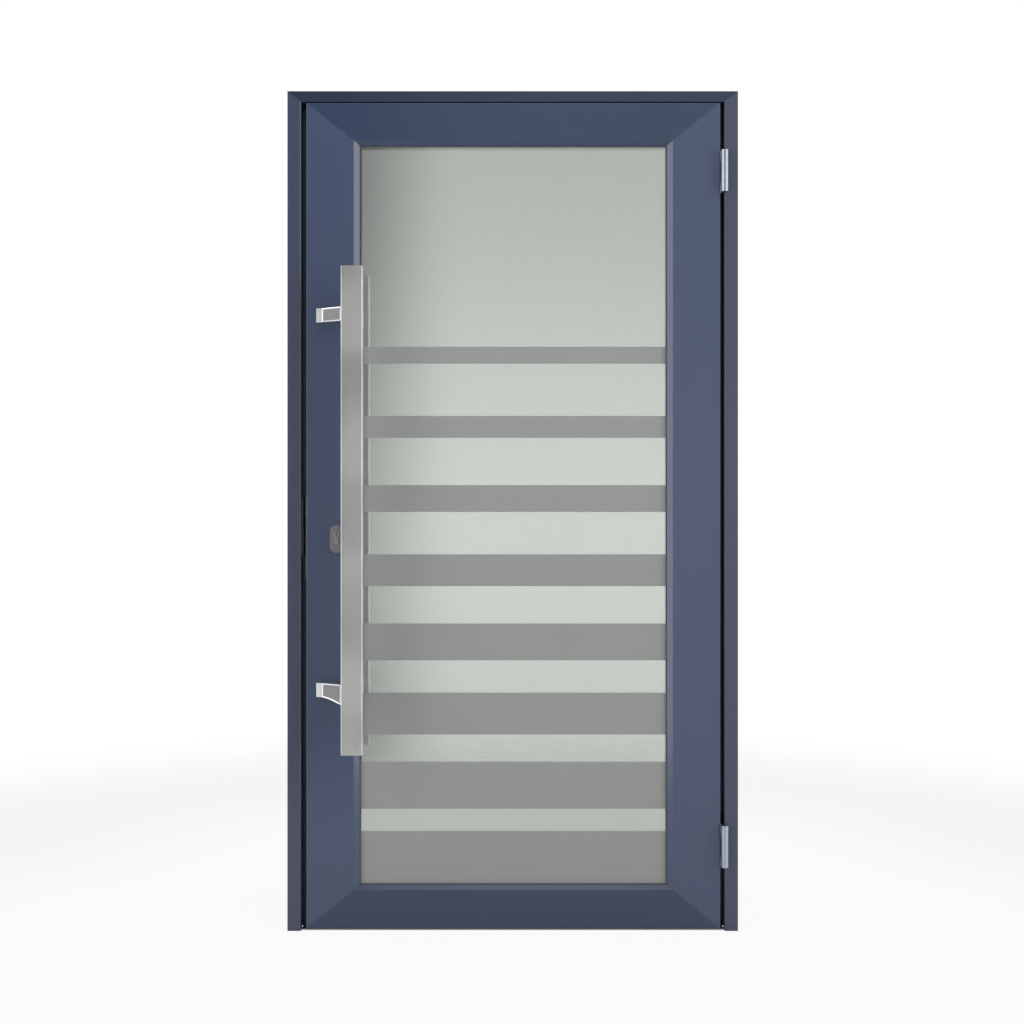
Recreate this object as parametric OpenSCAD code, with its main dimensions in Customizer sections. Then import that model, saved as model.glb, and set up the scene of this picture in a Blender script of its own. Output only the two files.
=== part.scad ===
// Glass entrance door: thermally broken aluminium frame and leaf, double glazed, with a cranked pull bar.
// The outside faces -Y, the hinges are on +X, and the leaf opens outwards.
// Millimetres. Origin: middle of the frame's sole, at floor level, half way through the frame's depth.
// A profile is drawn as points [u, v]: u runs from the member's outer edge towards the middle of the
// opening, and v runs inwards from the outside face.

/* [Frame] */
// Outer width of the frame
frame_w = 1127; // [900:1:1400]
// Outer height of the frame
frame_h = 2100; // [1900:1:2520]
// Face width of each jamb
jamb_face = 34; // [30:1:50]
// Face height of the head
head_face = 27; // [24:1:45]
// How far the inner stop reaches past the jamb face
stop_reach = 28; // [24:1:34]
// Thickness of the inner stop
stop_t = 17; // [14:1:20]
// Depth of the space that the stop's gasket fills between leaf and stop
seal_t = 4; // [3:0.5:6]
// Height of the threshold's upstand
sill_h = 20; // [14:1:24]
// Thickness of the threshold's base plate
sill_t = 3; // [2:0.5:3.5]
// How far the threshold's front edge stands back from the outside face
sill_setback = 8; // [4:1:14]

/* [Leaf] */
// Gap between leaf and jamb on the lock side
gap_lock = 13; // [12:0.5:15]
// Gap between leaf and jamb on the hinge side
gap_hinge = 10; // [10:0.5:12]
// Gap between leaf and head
gap_head = 2; // [2:0.5:8]
// Gap between leaf and floor
gap_floor = 6; // [5.5:0.5:10]
// Face width of a stile, up to the glazing bevel
stile_face = 119; // [100:1:140]
// Face height of the top rail
top_face = 94; // [80:1:130]
// Face height of the bottom rail
bottom_face = 96; // [80:1:160]
// Width of the bevel that leads down to the glass
bevel_w = 14; // [12:1:20]
// Depth of that bevel
bevel_d = 9; // [7:0.5:10]
// Depth of each aluminium shell of the leaf
shell_d = 20; // [19:0.5:24]
// Depth of the insulating bars between the shells
break_d = 14; // [14:0.5:18]
// Wall thickness of the aluminium profiles
wall = 2; // [1.6:0.1:2.5]
// Radius of the profiles' visible edges
edge_r = 3; // [1:0.5:3]

/* [Glass] */
// Thickness of each pane
pane_t = 6; // [4:0.5:6]
// Width of the space between the panes
pane_gap = 12; // [10:1:13]
// How far the glass unit reaches behind the bevel's lip
glass_bite = 14; // [12:1:15]
// Thickness of the outer and inner glazing gaskets
gasket_t = 3.5; // [3:0.5:4]
// Visible width of the outer glazing gasket
gasket_nose = 2; // [2:0.5:5]

/* [Hinges] */
// Distance of the lower hinge's middle from the floor
hinge_low_z = 214; // [180:1:400]
// Distance of the upper hinge's middle from the top of the frame
hinge_high_drop = 202; // [160:1:400]
// Overall height of a hinge
hinge_h = 104; // [90:1:120]
// Height of each outer knuckle
knuckle_h = 24; // [18:1:30]
// Diameter of the knuckles
knuckle_dia = 18.4; // [16:0.2:22]
// Diameter of the hinge pin
pin_dia = 8; // [6:0.5:9]
// Space between the outside face and the knuckles
knuckle_clear = 1; // [0.6:0.2:3]
// Distance of the hinge axis beyond the leaf's edge
axis_off = 9; // [8.6:0.1:9.2]

/* [Pull bar] */
// Length of the pull bar
bar_l = 1200; // [900:10:1500]
// Width of the pull bar
bar_w = 54; // [40:1:60]
// Thickness of the pull bar
bar_t = 22; // [16:1:28]
// Corner radius of the pull bar
bar_r = 3; // [3:0.5:7]
// Space between the leaf's face and the back of the bar
bar_clear = 50; // [45:1:65]
// Height of the bar's middle above the floor
bar_z = 1051; // [950:1:1100]
// Distance of the bar's middle from the leaf's edge
bar_in = 122; // [116:1:126]
// Distance from the bar's upper end to the middle of the upper bracket
bracket_inset_high = 114; // [90:1:200]
// Distance from the bar's lower end to the middle of the lower bracket
bracket_inset_low = 153; // [90:1:200]
// Height of a bracket's foot
bracket_h = 35; // [28:1:44]
// How far the lower bracket flares down towards the bar
bracket_flare = 24; // [10:1:40]
// Distance of the bracket's fixing bolt from the leaf's edge
bolt_in = 44; // [42:1:46]

/* [Lock] */
// Height of the lock cylinder's axis above the floor
lock_z = 990; // [940:1:1190]
// Distance of the cylinder's axis from the leaf's edge
backset = 77; // [75:1:79]
// Throw of the dead bolt
bolt_throw = 20; // [14:1:20]
// How far the roller stands out of the faceplate
roller_out = 6; // [4:0.5:6]
// Height of the oval escutcheon
rose_h = 70; // [66:1:76]
// Width of the oval escutcheon
rose_w = 33; // [31:1:36]

/* [Inner pull] */
// Height of the inner pull's lower post above the lock cylinder's axis
inner_rise = 120; // [110:1:160]
// Distance between the inner pull's posts
inner_span = 300; // [250:5:350]
// Diameter of the inner pull
inner_dia = 22; // [18:1:28]
// Space between the inner face and the inner pull
inner_clear = 48; // [42:1:60]

/* [Hidden] */

far = 1200;                // reach of cutting shapes
bar_end = 0.3;             // how far an insulating bar stops short of the mitre
paint = [0.27, 0.32, 0.40];
paint_frame = [0.24, 0.28, 0.35];
rubber = [0.08, 0.09, 0.10];
steel = [0.62, 0.62, 0.60];
silver = [0.72, 0.74, 0.76];
polyamide = [0.12, 0.12, 0.13];

// Frame
leaf_d = 2 * shell_d + break_d;
stop_v = leaf_d + seal_t;  // where the inner stop's sealing face lies
frame_d = stop_v + stop_t;
face_y = -frame_d / 2;
fx0 = -frame_w / 2;
fx1 = frame_w / 2;
frame_shell_d = 20;        // depth of the frame's outer shell
frame_in_v = stop_v - 12;  // where the frame's inner shell begins
stop_u = jamb_face + stop_reach;
k_head = head_face / jamb_face;
frame_box = [fx0, fx1, 0, frame_h];
frame_k = [0, k_head];

// Leaf
in_v = shell_d + break_d;  // where the leaf's inner shell begins
lx0 = fx0 + jamb_face + gap_lock;
lx1 = fx1 - jamb_face - gap_hinge;
lz0 = gap_floor;
lz1 = frame_h - head_face - gap_head;
leaf_box = [lx0, lx1, lz0, lz1];
k_top = top_face / stile_face;
k_bot = bottom_face / stile_face;
leaf_k = [k_bot, k_top];
lip_u = stile_face + bevel_w;
lip_t = 2;
floor_u = lip_u - 22;      // floor of the glazing rebate
glass_u = lip_u - glass_bite;
nose_u = lip_u + gasket_nose;
member_u = nose_u + 6;     // anything on a member lies within this
glass_v0 = bevel_d + lip_t + gasket_t;
glass_v1 = glass_v0 + 2 * pane_t + pane_gap;
bead_v = glass_v1 + gasket_t;
web_u = floor_u / 2;

// Hinges
axis_out = knuckle_dia / 2 + knuckle_clear;
hinge_x = lx1 + axis_off;
hinge_y = face_y - axis_out;
hinge_z = [hinge_low_z, frame_h - hinge_high_drop];
wing_t = 3;
wing_d = 16;               // how far a wing reaches into the rebate
knuckle_gap = 0.3;
pin_fit = 0.05;
wing_screw_v = 9;
mid_h = hinge_h - 2 * knuckle_h - 2 * knuckle_gap;
wing_screw_off = hinge_h / 2 - 14;

// Small screws
head_r = 2.6;
screw_r = 2.2;
screw_l = 11;

// Pull bar
bar_x = lx0 + bar_in;
bar_y = face_y - bar_clear - bar_t / 2;
bracket_z = [bar_z - bar_l / 2 + bracket_inset_low, bar_z + bar_l / 2 - bracket_inset_high];
bolt_x = lx0 + bolt_in;
bar_wall = 3;
bar_end_t = 5;
bolt_r = 4;
cap_t = 5;

// Lock
lock_x = lx0 + backset;
lock_v = shell_d + break_d / 2;
case_t = break_d - 1;
case_z0 = lock_z - 95;
case_z1 = lock_z + 85;
plate_t = 3;
plate_w = 22;
plate_z0 = case_z0 - 15;
plate_z1 = case_z1 + 15;
cyl_r = 8.5;
cyl_bib = 10;
cyl_drop = 24.5;           // from the cylinder's axis to the bottom of its body
plug_r = 6.5;
cyl_out = 3;               // how far the cylinder stands out of each escutcheon
rose_t = 9;
rose_z = lock_z - 10;
rose_screw_off = rose_h / 2 - 7;
cam_r = 14;
cam_t = 9;
dead_h = 34;
dead_t = 10;
dead_l = 48;
dead_fit = 0.4;
fork_travel = roller_out - 0.5;
roller_r = break_d / 2 - 0.5;
roller_side = 0.6;
roller_h = 18;
roller_z = lock_z + 58;
roller_x = lx0 - plate_t - roller_out + roller_r;
fork_l = 26;
fork_h = 26;
latch_pin_r = 2;
strike_v0 = frame_shell_d - 1;
strike_v1 = stop_v - 1;
strike_z0 = lock_z - 55;
strike_z1 = lock_z + 95;
jamb_x = fx0 + jamb_face;  // rebate face of the lock jamb

// Inner pull
inner_z = [lock_z + inner_rise, lock_z + inner_rise + inner_span];
inner_x = lx0 + floor_u / 2;
inner_y = face_y + leaf_d + inner_clear + inner_dia / 2;
stud_l = 14;

// ---- shapes that repeat ----

// Rounded corner of a profile, centred on c, from angle a0 to a1
function arc(c, r, a0, a1, n = 4) =
    [for (i = [0:n]) let (a = a0 + (a1 - a0) * i / n) [c[0] + r * cos(a), c[1] + r * sin(a)]];

function box_pts(u0, u1, v0, v1) = [[u0, v0], [u1, v0], [u1, v1], [u0, v1]];

module flat_profile(pts, holes, k, swap) {
    difference() {
        polygon([for (p = pts) swap ? [p[1], p[0] * k] : [p[0] * k, p[1]]]);
        for (h = holes) polygon([for (p = h) swap ? [p[1], p[0] * k] : [p[0] * k, p[1]]]);
    }
}

// Plan of one member with its mitred ends, as seen from outside, cut short by g at each end
function mitre_plan(side, b, k, g) =
    side == "left" ? [[b[0] - 10, b[2] - 10 * k[0] + g], [b[0] + member_u, b[2] + member_u * k[0] + g],
                      [b[0] + member_u, b[3] - member_u * k[1] - g], [b[0] - 10, b[3] + 10 * k[1] - g]]
    : side == "right" ? [[b[1] + 10, b[2] - 10 * k[0] + g], [b[1] + 10, b[3] + 10 * k[1] - g],
                         [b[1] - member_u, b[3] - member_u * k[1] - g],
                         [b[1] - member_u, b[2] + member_u * k[0] + g]]
    : side == "bottom" ? [[b[0] - 10 + g, b[2] - 10 * k[0]], [b[1] + 10 - g, b[2] - 10 * k[0]],
                          [b[1] - member_u - g, b[2] + member_u * k[0]],
                          [b[0] + member_u + g, b[2] + member_u * k[0]]]
    : [[b[0] - 10 + g, b[3] + 10 * k[1]], [b[0] + member_u + g, b[3] - member_u * k[1]],
       [b[1] - member_u - g, b[3] - member_u * k[1]], [b[1] + 10 - g, b[3] + 10 * k[1]]];

// One mitred member of a rectangular frame: the profile is drawn for an upright and scaled for a rail
module member(side, b, k, pts, holes = [], g = 0) {
    intersection() {
        if (side == "left")
            translate([b[0], face_y, b[2] - 5])
                linear_extrude(b[3] - b[2] + 10) flat_profile(pts, holes, 1, false);
        else if (side == "right")
            translate([b[1], face_y, b[2] - 5]) mirror([1, 0, 0])
                linear_extrude(b[3] - b[2] + 10) flat_profile(pts, holes, 1, false);
        else if (side == "bottom")
            translate([b[0] - 5, face_y, b[2]]) rotate([90, 0, 90])
                linear_extrude(b[1] - b[0] + 10) flat_profile(pts, holes, k[0], true);
        else
            translate([b[0] - 5, face_y, b[3]]) mirror([0, 0, 1]) rotate([90, 0, 90])
                linear_extrude(b[1] - b[0] + 10) flat_profile(pts, holes, k[1], true);
        translate([0, face_y + frame_d + 20, 0]) rotate([90, 0, 0])
            linear_extrude(frame_d + 40) polygon(mitre_plan(side, b, k, g));
    }
}

// Cylinder along Y, its v range measured inwards from the outside face
module bore_y(x, z, v0, v1, r) {
    translate([x, face_y + v1, z]) rotate([90, 0, 0]) cylinder(h = v1 - v0, r = r, $fn = 64);
}

// Cylinder along X
module bore_x(x0, x1, v, z, r) {
    translate([x0, face_y + v, z]) rotate([0, 90, 0]) cylinder(h = x1 - x0, r = r, $fn = 64);
}

module block(x0, x1, v0, v1, z0, z1) {
    translate([x0, face_y + v0, z0]) cube([x1 - x0, v1 - v0, z1 - z0]);
}

// Upright oval: two half rounds joined by straight sides, along Y
module oval(x, z, w, h, v0, v1) {
    for (s = [-1, 1]) bore_y(x, z + s * (h - w) / 2, v0, v1, w / 2);
    block(x - w / 2, x + w / 2, v0, v1, z - (h - w) / 2, z + (h - w) / 2);
}

// Outline of the lock cylinder's body, along Y, grown by g
module lock_outline(v0, v1, g) {
    bore_y(lock_x, lock_z, v0, v1, cyl_r + g);
    block(lock_x - cyl_bib / 2 - g, lock_x + cyl_bib / 2 + g, v0, v1,
        lock_z - cyl_drop + cyl_bib / 2 - g, lock_z);
    bore_y(lock_x, lock_z - cyl_drop + cyl_bib / 2, v0, v1, cyl_bib / 2 + g);
}

// Screw along X with its flat head at x, through a plate of thickness t, pointing towards dir
module screw_x(x, dir, v, z, t) {
    bore_x(min(x, x + dir * t), max(x, x + dir * t), v, z, head_r);
    bore_x(min(x, x + dir * (screw_l + t - 1)), max(x, x + dir * (screw_l + t - 1)), v, z, screw_r);
}

// ---- frame ----

wall_bolt_r = 4.5;
wall_bolt_v = frame_in_v + 7;
wall_bolt_z = [150, 700, 1400, frame_h - 150];
head_bolt_x = frame_w / 2 - 250;
sill_bolt_x = 380;
sill_bolt_r = 3;

frame_outer_pts = concat([[0, frame_shell_d]], arc([1.5, 1.5], 1.5, 180, 270, 3),
    arc([jamb_face - edge_r, edge_r], edge_r, 270, 360, 4), [[jamb_face, frame_shell_d]]);
frame_outer_holes = [box_pts(wall, jamb_face - wall, edge_r, frame_shell_d - wall)];
frame_inner_pts = concat([[0, frame_in_v], [jamb_face, frame_in_v], [jamb_face, stop_v], [stop_u, stop_v]],
    arc([stop_u - 1.5, frame_d - 1.5], 1.5, 0, 90, 3), [[0, frame_d]]);
frame_inner_holes = [box_pts(wall, jamb_face - wall, frame_in_v + wall, frame_d - wall),
    box_pts(jamb_face, stop_u - wall, stop_v + wall, frame_d - wall)];

module frame_outer(side) { member(side, frame_box, frame_k, frame_outer_pts, frame_outer_holes); }

module frame_inner(side) { member(side, frame_box, frame_k, frame_inner_pts, frame_inner_holes); }

// Holes for the bolts that hold the frame to the wall, through the inner shell of a jamb
module wall_bores(x0, x1) {
    for (z = wall_bolt_z) bore_x(x0, x1, wall_bolt_v, z, wall_bolt_r);
}

module jamb_lock_outer() {
    color(paint_frame) frame_outer("left");
}

module jamb_hinge_outer() {
    color(paint_frame) difference() {
        frame_outer("right");
        wing_bores(fx1 - jamb_face - 1, fx1 - jamb_face + screw_l, screw_r);
    }
}

module head_outer() {
    color(paint_frame) frame_outer("top");
}

module jamb_lock_inner() {
    color(paint_frame) difference() {
        frame_inner("left");
        wall_bores(fx0 - 1, fx0 + jamb_face + 1);
        for (z = strike_screw_z) bore_x(jamb_x - screw_l, jamb_x + 1, strike_screw_v, z, screw_r);
    }
}

module jamb_hinge_inner() {
    color(paint_frame) difference() {
        frame_inner("right");
        wall_bores(fx1 - jamb_face - 1, fx1 + 1);
    }
}

module head_inner() {
    color(paint_frame) difference() {
        frame_inner("top");
        for (s = [-1, 1]) translate([s * head_bolt_x, face_y + wall_bolt_v, frame_h - head_face - 1])
            cylinder(h = head_face + 2, r = wall_bolt_r, $fn = 64);
    }
}

// Insulating bars that join the two shells, with a gap at the strike
module frame_break_bars() {
    color(polyamide) difference() {
        for (side = ["left", "right", "top"], u = [4, jamb_face - 7])
            member(side, frame_box, frame_k, box_pts(u, u + 3, frame_shell_d, frame_in_v), g = bar_end);
        block(jamb_x - 12, jamb_x + 1, frame_shell_d - 1, frame_in_v + 1, strike_z0 + 12, strike_z1 - 12);
    }
}

// Angle blocks pressed into the hollow of two members at a corner
module corner_angle(b, sx, sz, k, leg, v0, v1, u0, u1) {
    x = sx > 0 ? b[0] : b[1];
    z = sz > 0 ? b[2] : b[3];
    translate([x, face_y + v1, z]) rotate([90, 0, 0]) mirror([sx > 0 ? 0 : 1, 0, 0])
        mirror([0, sz > 0 ? 0 : 1, 0]) linear_extrude(v1 - v0)
            polygon([[u0, u0 * k], [leg, u0 * k], [leg, u1 * k], [u1, u1 * k], [u1, leg], [u0, leg]]);
}

module frame_cleats() {
    color(silver) for (s = [-1, 1]) {
        corner_angle(frame_box, s, -1, k_head, 90, edge_r + 0.3, frame_shell_d - wall - 0.3,
            wall + 0.5, jamb_face - wall - 0.5);
        corner_angle(frame_box, s, -1, k_head, 90, frame_in_v + wall + 0.3, frame_d - wall - 0.3,
            wall + 0.5, jamb_face - wall - 0.5);
    }
}

// Low threshold: a base plate in the rebate and a hollow upstand between the stops
module threshold() {
    stop_x = fx1 - stop_u;
    color(silver) difference() {
        union() {
            block(-(fx1 - jamb_face), fx1 - jamb_face, sill_setback, stop_v, 0, sill_t);
            block(-stop_x, stop_x, stop_v - 0.5, frame_d, 0, sill_h);
        }
        block(-stop_x - 1, stop_x + 1, stop_v + 2, frame_d - wall, sill_t, sill_h - wall);
        for (s = [-1, 1]) translate([s * sill_bolt_x, face_y + (sill_setback + stop_v) / 2, -1])
            cylinder(h = sill_t + 2, r = sill_bolt_r, $fn = 64);
    }
}

seal_gap = 0.3;            // closed leaf to gasket

// Gasket along the stop: jambs and head, one piece
module stop_gasket() {
    color(rubber) difference() {
        for (side = ["left", "right", "top"])
            member(side, frame_box, frame_k, box_pts(stop_u - 11, stop_u - 4, leaf_d + seal_gap, stop_v));
        block(-far, far, -10, frame_d + 10, -50, sill_h);
    }
}

module sill_gasket() {
    stop_x = fx1 - stop_u;
    color(rubber) block(-stop_x + 0.3, stop_x - 0.3, leaf_d + seal_gap, stop_v - 0.5, sill_h - 8, sill_h - 1);
}

// ---- leaf ----

leaf_outer_pts = concat([[0, shell_d]], arc([edge_r, edge_r], edge_r, 180, 270, 4),
    [[stile_face, 0], [lip_u, bevel_d], [lip_u, bevel_d + lip_t], [floor_u, bevel_d + lip_t],
     [floor_u, shell_d]]);
leaf_outer_holes = [box_pts(wall, web_u - wall / 2, edge_r, shell_d - wall),
    box_pts(web_u + wall / 2, floor_u - wall, wall, shell_d - wall),
    [[floor_u, wall], [stile_face - 1, wall], [lip_u - 7, bevel_d - 1.6], [lip_u - 7, bevel_d + 0.2],
     [floor_u, bevel_d + 0.2]]];
leaf_inner_pts = concat([[0, in_v], [floor_u, in_v], [floor_u, leaf_d]],
    arc([2, leaf_d - 2], 2, 90, 180, 3));
leaf_inner_holes = [box_pts(wall, web_u - wall / 2, in_v + wall, leaf_d - wall),
    box_pts(web_u + wall / 2, floor_u - wall, in_v + wall, leaf_d - wall)];
bead_pts = [[floor_u, bead_v], [lip_u, bead_v], [lip_u, leaf_d - 4], [lip_u - 3, leaf_d], [floor_u, leaf_d]];
bead_holes = [[[floor_u + 1.5, bead_v + 1.5], [lip_u - 1.5, bead_v + 1.5], [lip_u - 1.5, leaf_d - 4.6],
    [lip_u - 3.6, leaf_d - 1.5], [floor_u + 1.5, leaf_d - 1.5]]];

module leaf_outer(side) { member(side, leaf_box, leaf_k, leaf_outer_pts, leaf_outer_holes); }

module leaf_inner(side) { member(side, leaf_box, leaf_k, leaf_inner_pts, leaf_inner_holes); }

module stile_lock_outer() {
    color(paint) difference() {
        leaf_outer("left");
        lock_outline(-1, shell_d + 1, 0.5);
        for (z = bracket_z) bore_y(bolt_x, z, -1, shell_d + 1, bolt_r + 0.5);
    }
}

module stile_hinge_outer() {
    color(paint) difference() {
        leaf_outer("right");
        wing_bores(lx1 - screw_l, lx1 + 1, screw_r);
    }
}

module rail_top_outer() {
    color(paint) leaf_outer("top");
}

module rail_bottom_outer() {
    color(paint) leaf_outer("bottom");
}

module stile_lock_inner() {
    color(paint) difference() {
        leaf_inner("left");
        lock_outline(in_v - 1, leaf_d + 1, 0.5);
        for (z = bracket_z) bore_y(bolt_x, z, in_v - 1, leaf_d + 1, bolt_r + 0.5);
        for (z = inner_z) bore_y(inner_x, z, leaf_d - stud_l - 1, leaf_d + 1, bolt_r);
        for (s = [-1, 1]) bore_y(lock_x, rose_z + s * rose_screw_off, leaf_d - wall - 1, leaf_d + 1, 2);
    }
}

module stile_hinge_inner() {
    color(paint) leaf_inner("right");
}

module rail_top_inner() {
    color(paint) leaf_inner("top");
}

module rail_bottom_inner() {
    color(paint) leaf_inner("bottom");
}

// Insulating bars of the leaf, with a gap where the lock case goes in
module leaf_break_bars() {
    color(polyamide) difference() {
        for (side = ["left", "right", "top", "bottom"], u = [4, floor_u - 6])
            member(side, leaf_box, leaf_k, box_pts(u, u + 3, shell_d, in_v), g = bar_end);
        block(lx0 - 1, lx0 + 12, shell_d - 1, in_v + 1, case_z0 - 0.5, case_z1 + 0.5);
        for (z = plate_screw_z) bore_x(lx0, lx0 + 12, lock_v, z, screw_r);
    }
}

module leaf_cleats() {
    color(silver) for (sx = [-1, 1], sz = [-1, 1]) {
        corner_angle(leaf_box, sx, sz, sz > 0 ? k_bot : k_top, 120, edge_r + 0.3, shell_d - wall - 0.3,
            wall + 0.5, web_u - wall / 2 - 0.5);
        corner_angle(leaf_box, sx, sz, sz > 0 ? k_bot : k_top, 120, in_v + wall + 0.3, leaf_d - wall - 0.3,
            wall + 0.5, web_u - wall / 2 - 0.5);
    }
}

module bead_lock() {
    color(paint) member("left", leaf_box, leaf_k, bead_pts, bead_holes);
}

module bead_hinge() {
    color(paint) member("right", leaf_box, leaf_k, bead_pts, bead_holes);
}

module bead_top() {
    color(paint) member("top", leaf_box, leaf_k, bead_pts, bead_holes);
}

module bead_bottom() {
    color(paint) member("bottom", leaf_box, leaf_k, bead_pts, bead_holes);
}

// Ring round the glass, between u0 and u1 and between v0 and v1
module glazing_ring(u0, u1, v0, v1) {
    difference() {
        block(lx0 + u0, lx1 - u0, v0, v1, lz0 + u0 * k_bot, lz1 - u0 * k_top);
        block(lx0 + u1, lx1 - u1, v0 - 1, v1 + 1, lz0 + u1 * k_bot, lz1 - u1 * k_top);
    }
}

gasket_seat = 8;           // how far a glazing gasket reaches behind its lip or bead
gasket_sunk = 0.4;         // how far the outer gasket's nose lies below the bevel's edge

module gasket_outer() {
    color(rubber) {
        glazing_ring(lip_u - gasket_seat, nose_u, bevel_d + lip_t, glass_v0);
        glazing_ring(lip_u, nose_u, bevel_d + gasket_sunk, bevel_d + lip_t);
    }
}

module gasket_inner() {
    color(rubber) {
        glazing_ring(lip_u - gasket_seat, lip_u + 2, glass_v1, bead_v);
        glazing_ring(lip_u, lip_u + 2, bead_v, bead_v + 1);
    }
}

gx0 = lx0 + glass_u;
gx1 = lx1 - glass_u;
gz0 = lz0 + glass_u * k_bot;
gz1 = lz1 - glass_u * k_top;

module pane_outer() {
    color([0.72, 0.76, 0.72, 0.6]) block(gx0, gx1, glass_v0, glass_v0 + pane_t, gz0, gz1);
}

module pane_inner() {
    color([0.72, 0.76, 0.72, 0.6]) block(gx0, gx1, glass_v1 - pane_t, glass_v1, gz0, gz1);
}

// Hollow bar that keeps the panes apart, and the sealant round it
module pane_ring(i0, i1) {
    difference() {
        block(gx0 + i0, gx1 - i0, glass_v0 + pane_t, glass_v1 - pane_t, gz0 + i0, gz1 - i0);
        block(gx0 + i1, gx1 - i1, glass_v0 + pane_t - 1, glass_v1 - pane_t + 1, gz0 + i1, gz1 - i1);
    }
}

module pane_spacer() {
    color(silver) pane_ring(4, 10.5);
}

module pane_seal() {
    color(rubber) pane_ring(0, 4);
}

// Plastic blocks that carry the glass unit and hold it square
module setting_blocks() {
    block_l = 90;
    inset = 130;
    ease = 0.1;            // clearance of the blocks that carry no weight
    color([0.15, 0.25, 0.45]) {
        for (x = [gx0 + inset, gx1 - inset]) {
            block(x - block_l / 2, x + block_l / 2, glass_v0, glass_v1, lz0 + floor_u * k_bot, gz0);
            block(x - block_l / 2, x + block_l / 2, glass_v0, glass_v1,
                gz1 + ease, lz1 - floor_u * k_top - ease);
        }
        for (z = [gz0 + inset, gz1 - inset]) {
            block(lx0 + floor_u + ease, gx0 - ease, glass_v0, glass_v1, z - block_l / 2, z + block_l / 2);
            block(gx1 + ease, lx1 - floor_u - ease, glass_v0, glass_v1, z - block_l / 2, z + block_l / 2);
        }
    }
}

// ---- hinges ----

module knuckle(z0, h, r_bore) {
    translate([hinge_x, hinge_y, z0]) difference() {
        cylinder(h = h, d = knuckle_dia, $fn = 96);
        translate([0, 0, -1]) cylinder(h = h + 2, r = r_bore, $fn = 64);
    }
}

// Screw holes of both hinges' wings
module wing_bores(x0, x1, r) {
    for (zc = hinge_z, s = [-1, 1]) bore_x(x0, x1, wing_screw_v, zc + s * wing_screw_off, r);
}

// Frame half: a wing on the jamb's rebate face and the two outer knuckles
module hinge_frame(zc) {
    wx1 = fx1 - jamb_face;
    difference() {
        union() {
            block(wx1 - wing_t, wx1, 0, wing_d, zc - hinge_h / 2, zc + hinge_h / 2);
            for (z = [zc - hinge_h / 2, zc + hinge_h / 2 - knuckle_h])
                block(wx1 - wing_t, wx1, -axis_out, 0.5, z, z + knuckle_h);
            for (z = [zc - hinge_h / 2, zc + hinge_h / 2 - knuckle_h])
                translate([hinge_x, hinge_y, z]) cylinder(h = knuckle_h, d = knuckle_dia, $fn = 96);
        }
        translate([hinge_x, hinge_y, zc - hinge_h / 2 + 3]) cylinder(h = hinge_h - 6, d = pin_dia, $fn = 64);
        wing_bores(wx1 - wing_t - 1, wx1 + 1, head_r);
    }
}

// Leaf half: a wing on the leaf's edge and the middle knuckle
module hinge_leaf(zc) {
    difference() {
        union() {
            block(lx1, lx1 + wing_t, 0, wing_d, zc - hinge_h / 2, zc + hinge_h / 2);
            block(lx1, lx1 + wing_t, -axis_out, 0.5, zc - mid_h / 2, zc + mid_h / 2);
            translate([hinge_x, hinge_y, zc - mid_h / 2]) cylinder(h = mid_h, d = knuckle_dia, $fn = 96);
        }
        translate([hinge_x, hinge_y, zc - mid_h / 2 - 1])
            cylinder(h = mid_h + 2, d = pin_dia + 2 * pin_fit, $fn = 64);
        wing_bores(lx1 - 1, lx1 + wing_t + 1, head_r);
    }
}

module hinge_frame_low() {
    color(silver) hinge_frame(hinge_z[0]);
}

module hinge_frame_high() {
    color(silver) hinge_frame(hinge_z[1]);
}

module hinge_leaf_low() {
    color(silver) hinge_leaf(hinge_z[0]);
}

module hinge_leaf_high() {
    color(silver) hinge_leaf(hinge_z[1]);
}

module hinge_pins() {
    color(steel) for (zc = hinge_z)
        translate([hinge_x, hinge_y, zc - hinge_h / 2 + 3]) cylinder(h = hinge_h - 6, d = pin_dia, $fn = 64);
}

module hinge_frame_screws() {
    color(steel) for (zc = hinge_z, s = [-1, 1])
        screw_x(fx1 - jamb_face - wing_t, 1, wing_screw_v, zc + s * wing_screw_off, wing_t);
}

module hinge_leaf_screws() {
    color(steel) for (zc = hinge_z, s = [-1, 1])
        screw_x(lx1 + wing_t, -1, wing_screw_v, zc + s * wing_screw_off, wing_t);
}

// ---- pull bar ----

// Flat tube with rounded corners and closed ends
module pull_bar() {
    color(steel) translate([bar_x, bar_y, bar_z - bar_l / 2]) difference() {
        linear_extrude(bar_l) union() {
            square([bar_w - 2 * bar_r, bar_t], center = true);
            square([bar_w, bar_t - 2 * bar_r], center = true);
            for (sx = [-1, 1], sy = [-1, 1]) translate([sx * (bar_w / 2 - bar_r), sy * (bar_t / 2 - bar_r)])
                circle(r = bar_r, $fn = 48);
        }
        translate([-bar_w / 2 + bar_r, -bar_t / 2 + bar_wall, bar_end_t])
            cube([bar_w - 2 * bar_r, bar_t - 2 * bar_wall, bar_l - 2 * bar_end_t]);
        for (z = bracket_z) translate([0, 0, z - bar_z + bar_l / 2]) rotate([-90, 0, 0])
            cylinder(h = bar_t, r = 2.5, $fn = 48);
    }
}

// Plan of a cranked bracket: foot on the stile, arm at a slant to the bar
foot_x0 = lx0 + bolt_in - 17;
foot_x1 = lx0 + bolt_in + 17;
arm_x0 = bar_x - bar_w / 2 + 3;
arm_x1 = bar_x + 14;
bracket_plan = [[foot_x0, face_y], [foot_x1 + 6, face_y], [arm_x1, face_y - bar_clear + 12],
    [arm_x1, face_y - bar_clear], [arm_x0, face_y - bar_clear], [arm_x0 - 6, face_y - bar_clear + 3],
    [foot_x0 + 14, face_y - 15], [foot_x0, face_y - 11]];

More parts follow.
